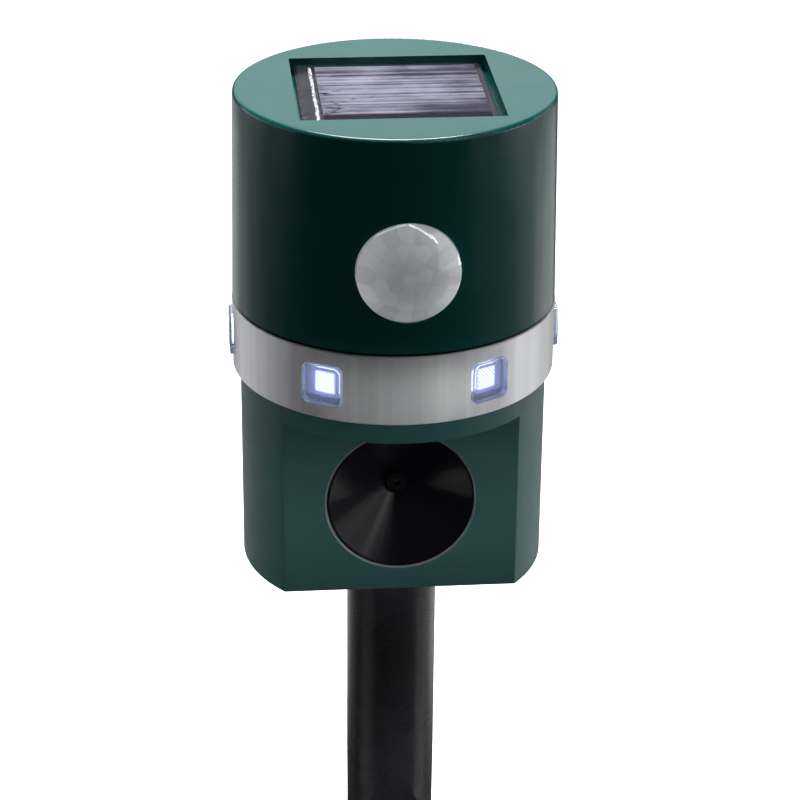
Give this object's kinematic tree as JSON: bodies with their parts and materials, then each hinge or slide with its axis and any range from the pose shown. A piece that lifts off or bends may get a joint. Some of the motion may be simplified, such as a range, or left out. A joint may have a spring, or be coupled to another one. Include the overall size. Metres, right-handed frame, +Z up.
{
  "type": "ultrasonic pest repeller",
  "caption": "Garden ultrasonic repeller: round green head with solar panel, motion lens, silver flash-light band and black horn in a flat front, turning on a black ground stake.",
  "frame": {"origin": "the ground line on the stake's axis, where the stake enters the soil", "axes": "+Z up along the stake, -Y towards the flat front with the horn and the lens, +X to the side of the mode dial"},
  "size_m": [0.097, 0.0997, 0.3814],
  "materials": {
    "green_plastic": "satin moulded, fine spark texture on the lower sides",
    "black_gloss": "glossy moulded black",
    "black_plastic": "satin moulded black",
    "cover_plastic": "satin moulded green",
    "silver_band": "satin silver, brushed round the ring",
    "clear_plastic": "clear moulded, polished",
    "milky_lens": "milky translucent, facets inside",
    "white_light": "white light source",
    "light_strip": "white flexible board",
    "rubber_seal": "soft black",
    "foam_pad": "foam with adhesive",
    "circuit_board": "green board",
    "solar_cell": "dark purple-grey silicon",
    "silver_ribbon": "crinkled tinned ribbon",
    "dark_filter": "dark infrared filter",
    "sensor_metal": "pressed can",
    "steel": "zinc plated",
    "brass_disc": "rolled",
    "white_ceramic": "silvered ceramic",
    "chip_plastic": "black moulded",
    "copper_coil": "varnished copper wire",
    "battery_wrap": "plain printed sleeve",
    "white_paint": "printed white"
  },
  "bodies": {
    "stake": {"ground_stake": "black_gloss"},
    "head": {"upper_housing": "green_plastic", "lower_housing": "green_plastic", "horn": "black_gloss", "band_carrier": "black_plastic", "horn_retainer": "black_plastic", "driver_cap": "black_plastic", "pir_lens_ring": "black_plastic", "battery_tray": "black_plastic", "dial_switch": "black_plastic", "battery_cover": "cover_plastic", "light_band": "silver_band", "light_window_1": "clear_plastic", "light_window_2": "clear_plastic", "light_window_3": "clear_plastic", "light_window_4": "clear_plastic", "light_window_5": "clear_plastic", "light_window_6": "clear_plastic", "panel_resin": "clear_plastic", "pir_lens": "milky_lens", "light_1": "white_light", "light_2": "white_light", "light_3": "white_light", "light_4": "white_light", "light_5": "white_light", "light_6": "white_light", "light_strip": "light_strip", "upper_seal": "rubber_seal", "lower_seal": "rubber_seal", "cover_seal": "rubber_seal", "panel_pad": "foam_pad", "main_board": "circuit_board", "pir_board": "circuit_board", "solar_board": "circuit_board", "solar_cells": "solar_cell", "cell_busbar": "silver_ribbon", "pir_window": "dark_filter", "pir_sensor": "sensor_metal", "housing_screws": "steel", "horn_screws": "steel", "cover_screws": "steel", "contact_plates": "steel", "contact_springs": "steel", "piezo_disc": "brass_disc", "piezo_ceramic": "white_ceramic", "control_chip": "chip_plastic", "board_capacitors": "chip_plastic", "charge_coil": "copper_coil", "battery_cell_1": "battery_wrap", "battery_cell_2": "battery_wrap", "battery_cell_3": "battery_wrap", "dial_marks": "white_paint"},
    "mode_dial": {"mode_dial": "black_plastic", "dial_pointer": "white_paint"}
  },
  "joints": [
    {"name": "head_swivel", "type": "hinge", "parent": "stake", "child": "head", "pos_m": [0, 0, 0.078], "axis": [0, 0, 1], "continuous": true},
    {"name": "mode_dial_turn", "type": "hinge", "parent": "head", "child": "mode_dial", "pos_m": [0.029, 0.002, 0.078], "axis": [0, 0, 1], "range_deg": [0, 225]}
  ]
}
